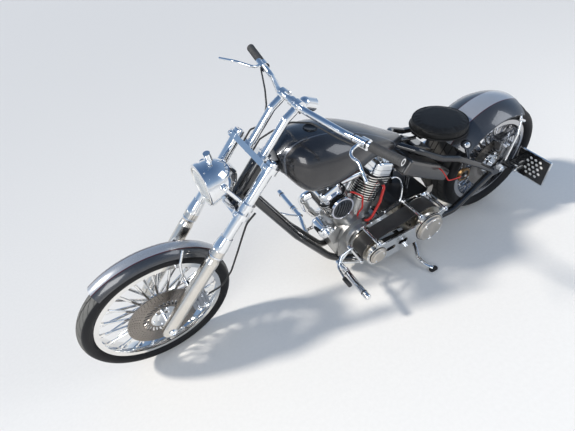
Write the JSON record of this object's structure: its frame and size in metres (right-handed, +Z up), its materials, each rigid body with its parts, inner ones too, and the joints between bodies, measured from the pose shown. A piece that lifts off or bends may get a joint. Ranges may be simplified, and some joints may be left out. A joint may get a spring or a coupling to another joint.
{
  "type": "chopper motorcycle",
  "caption": "Long-forked chopper motorcycle with a laced front wheel, wide rear tyre, open belt drive and solo seat, leaning on its side stand.",
  "frame": {"origin": "centre of the footprint on the floor under the machine as it leans on its stand", "axes": "+X forward along the wheelbase, +Y to the rider's left, +Z up from the floor; the machine leans about 10 degrees towards +Y"},
  "size_m": [2.5286, 1.0025, 1.1694],
  "materials": {
    "belt_rubber": "matte",
    "black_alloy": "satin",
    "black_paint": "gloss",
    "charcoal_paint": "metallic gloss",
    "chrome": "mirror",
    "grip_rubber": "matte",
    "hose_rubber": "satin",
    "lamp_glass": "clear",
    "lead_silicone": "satin",
    "plate_sheet": "satin",
    "polished_alloy": "polished",
    "seat_leather": "satin",
    "steel_disc": "brushed",
    "tyre_rubber": "matte"
  },
  "bodies": {
    "frame": {"frame_spine": "black_paint", "frame_cradle": "black_paint", "frame_rear_rails": "black_paint", "frame_brackets": "black_paint", "fender_stays": "chrome", "drive_chain": "steel_disc", "ignition_switch": "chrome", "rear_axle": "chrome", "rear_fender": "charcoal_paint", "rear_caliper": "polished_alloy", "plate_bracket": "black_paint", "licence_plate": "plate_sheet", "rear_indicators": "chrome", "crankcase": "black_alloy", "cylinders": "black_alloy", "rocker_covers": "chrome", "pushrod_tubes": "chrome", "air_cleaner": "chrome", "exhausts": "chrome", "gearbox": "black_alloy", "primary_inner_plate": "polished_alloy", "primary_posts": "chrome", "primary_belt": "belt_rubber", "primary_pulleys": "polished_alloy", "primary_outer_plate": "polished_alloy", "primary_covers": "chrome", "oil_filter": "chrome", "plug_leads": "lead_silicone", "horn_cover": "chrome", "forward_control_left": "chrome", "forward_control_right": "chrome", "fuel_tank": "charcoal_paint", "fuel_cap": "chrome", "oil_tank": "charcoal_paint", "seat_pan": "black_paint", "seat_pad": "seat_leather"},
    "rear_wheel": {"rear_tyre": "tyre_rubber", "rear_wheel_spoked": "chrome", "rear_disc": "steel_disc", "rear_sprocket": "steel_disc"},
    "fork": {"top_tree": "chrome", "lower_tree": "chrome", "fork_legs": "chrome", "front_axle": "chrome", "handlebar": "chrome", "risers": "chrome", "grips": "grip_rubber", "hand_controls": "chrome", "headlamp_shell": "chrome", "headlamp_lens": "lamp_glass", "front_fender": "charcoal_paint", "front_caliper": "polished_alloy", "front_fender_struts": "chrome", "brake_hose": "hose_rubber", "lamp_bracket": "chrome", "gauge_pod": "chrome"},
    "front_wheel": {"front_tyre": "tyre_rubber", "front_wheel_spoked": "chrome", "front_disc": "steel_disc"},
    "side_stand": {"side_stand": "chrome"}
  },
  "joints": [
    {"name": "rear_wheel_spin", "type": "hinge", "parent": "frame", "child": "rear_wheel", "pos_m": [-0.93632, -0.06893, 0.3259], "axis": [0, 0.9848, -0.1736], "continuous": true},
    {"name": "steering", "type": "hinge", "parent": "frame", "child": "fork", "pos_m": [0.88576, -0.07508, 0.29102], "axis": [-0.6871, 0.1262, 0.7155], "range_deg": [-38, 24]},
    {"name": "front_wheel_spin", "type": "hinge", "parent": "fork", "child": "front_wheel", "pos_m": [0.92739, -0.06152, 0.3286], "axis": [-0.086, 0.9638, -0.2525], "continuous": true},
    {"name": "side_stand_fold", "type": "hinge", "parent": "frame", "child": "side_stand", "pos_m": [-0.37632, 0.0553, 0.07451], "axis": [0, 0.1736, 0.9848], "range_deg": [0, 88]}
  ]
}
